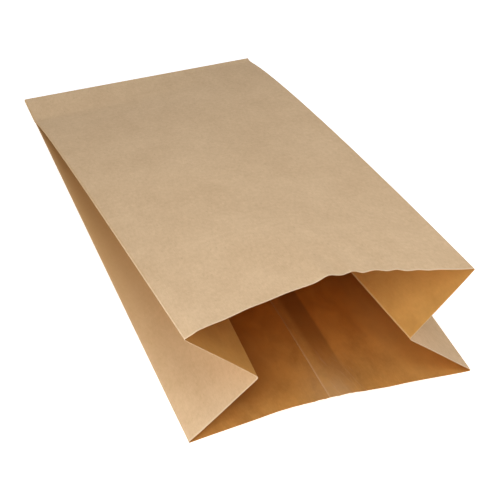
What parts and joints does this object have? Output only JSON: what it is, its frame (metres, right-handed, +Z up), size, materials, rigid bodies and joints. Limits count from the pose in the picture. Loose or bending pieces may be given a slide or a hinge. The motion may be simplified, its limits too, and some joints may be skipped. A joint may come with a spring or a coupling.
{
  "type": "lined paper bag",
  "caption": "Side-gusset paper bag with a smooth film lining, lying on its back panel with its mouth held open.",
  "frame": {"origin": "on the surface the bag lies on, under the middle of its bounding box", "axes": "+Y from the open mouth to the closed bottom fold, +Z up through the front panel, +X to the right seen from the mouth"},
  "size_m": [0.13, 0.2808, 0.064],
  "materials": {
    "kraft_paper": "uncoated brown kraft paper outside, smooth satin film lining inside"
  },
  "bodies": {
    "root": {"paper_bag": "kraft_paper"}
  },
  "joints": []
}
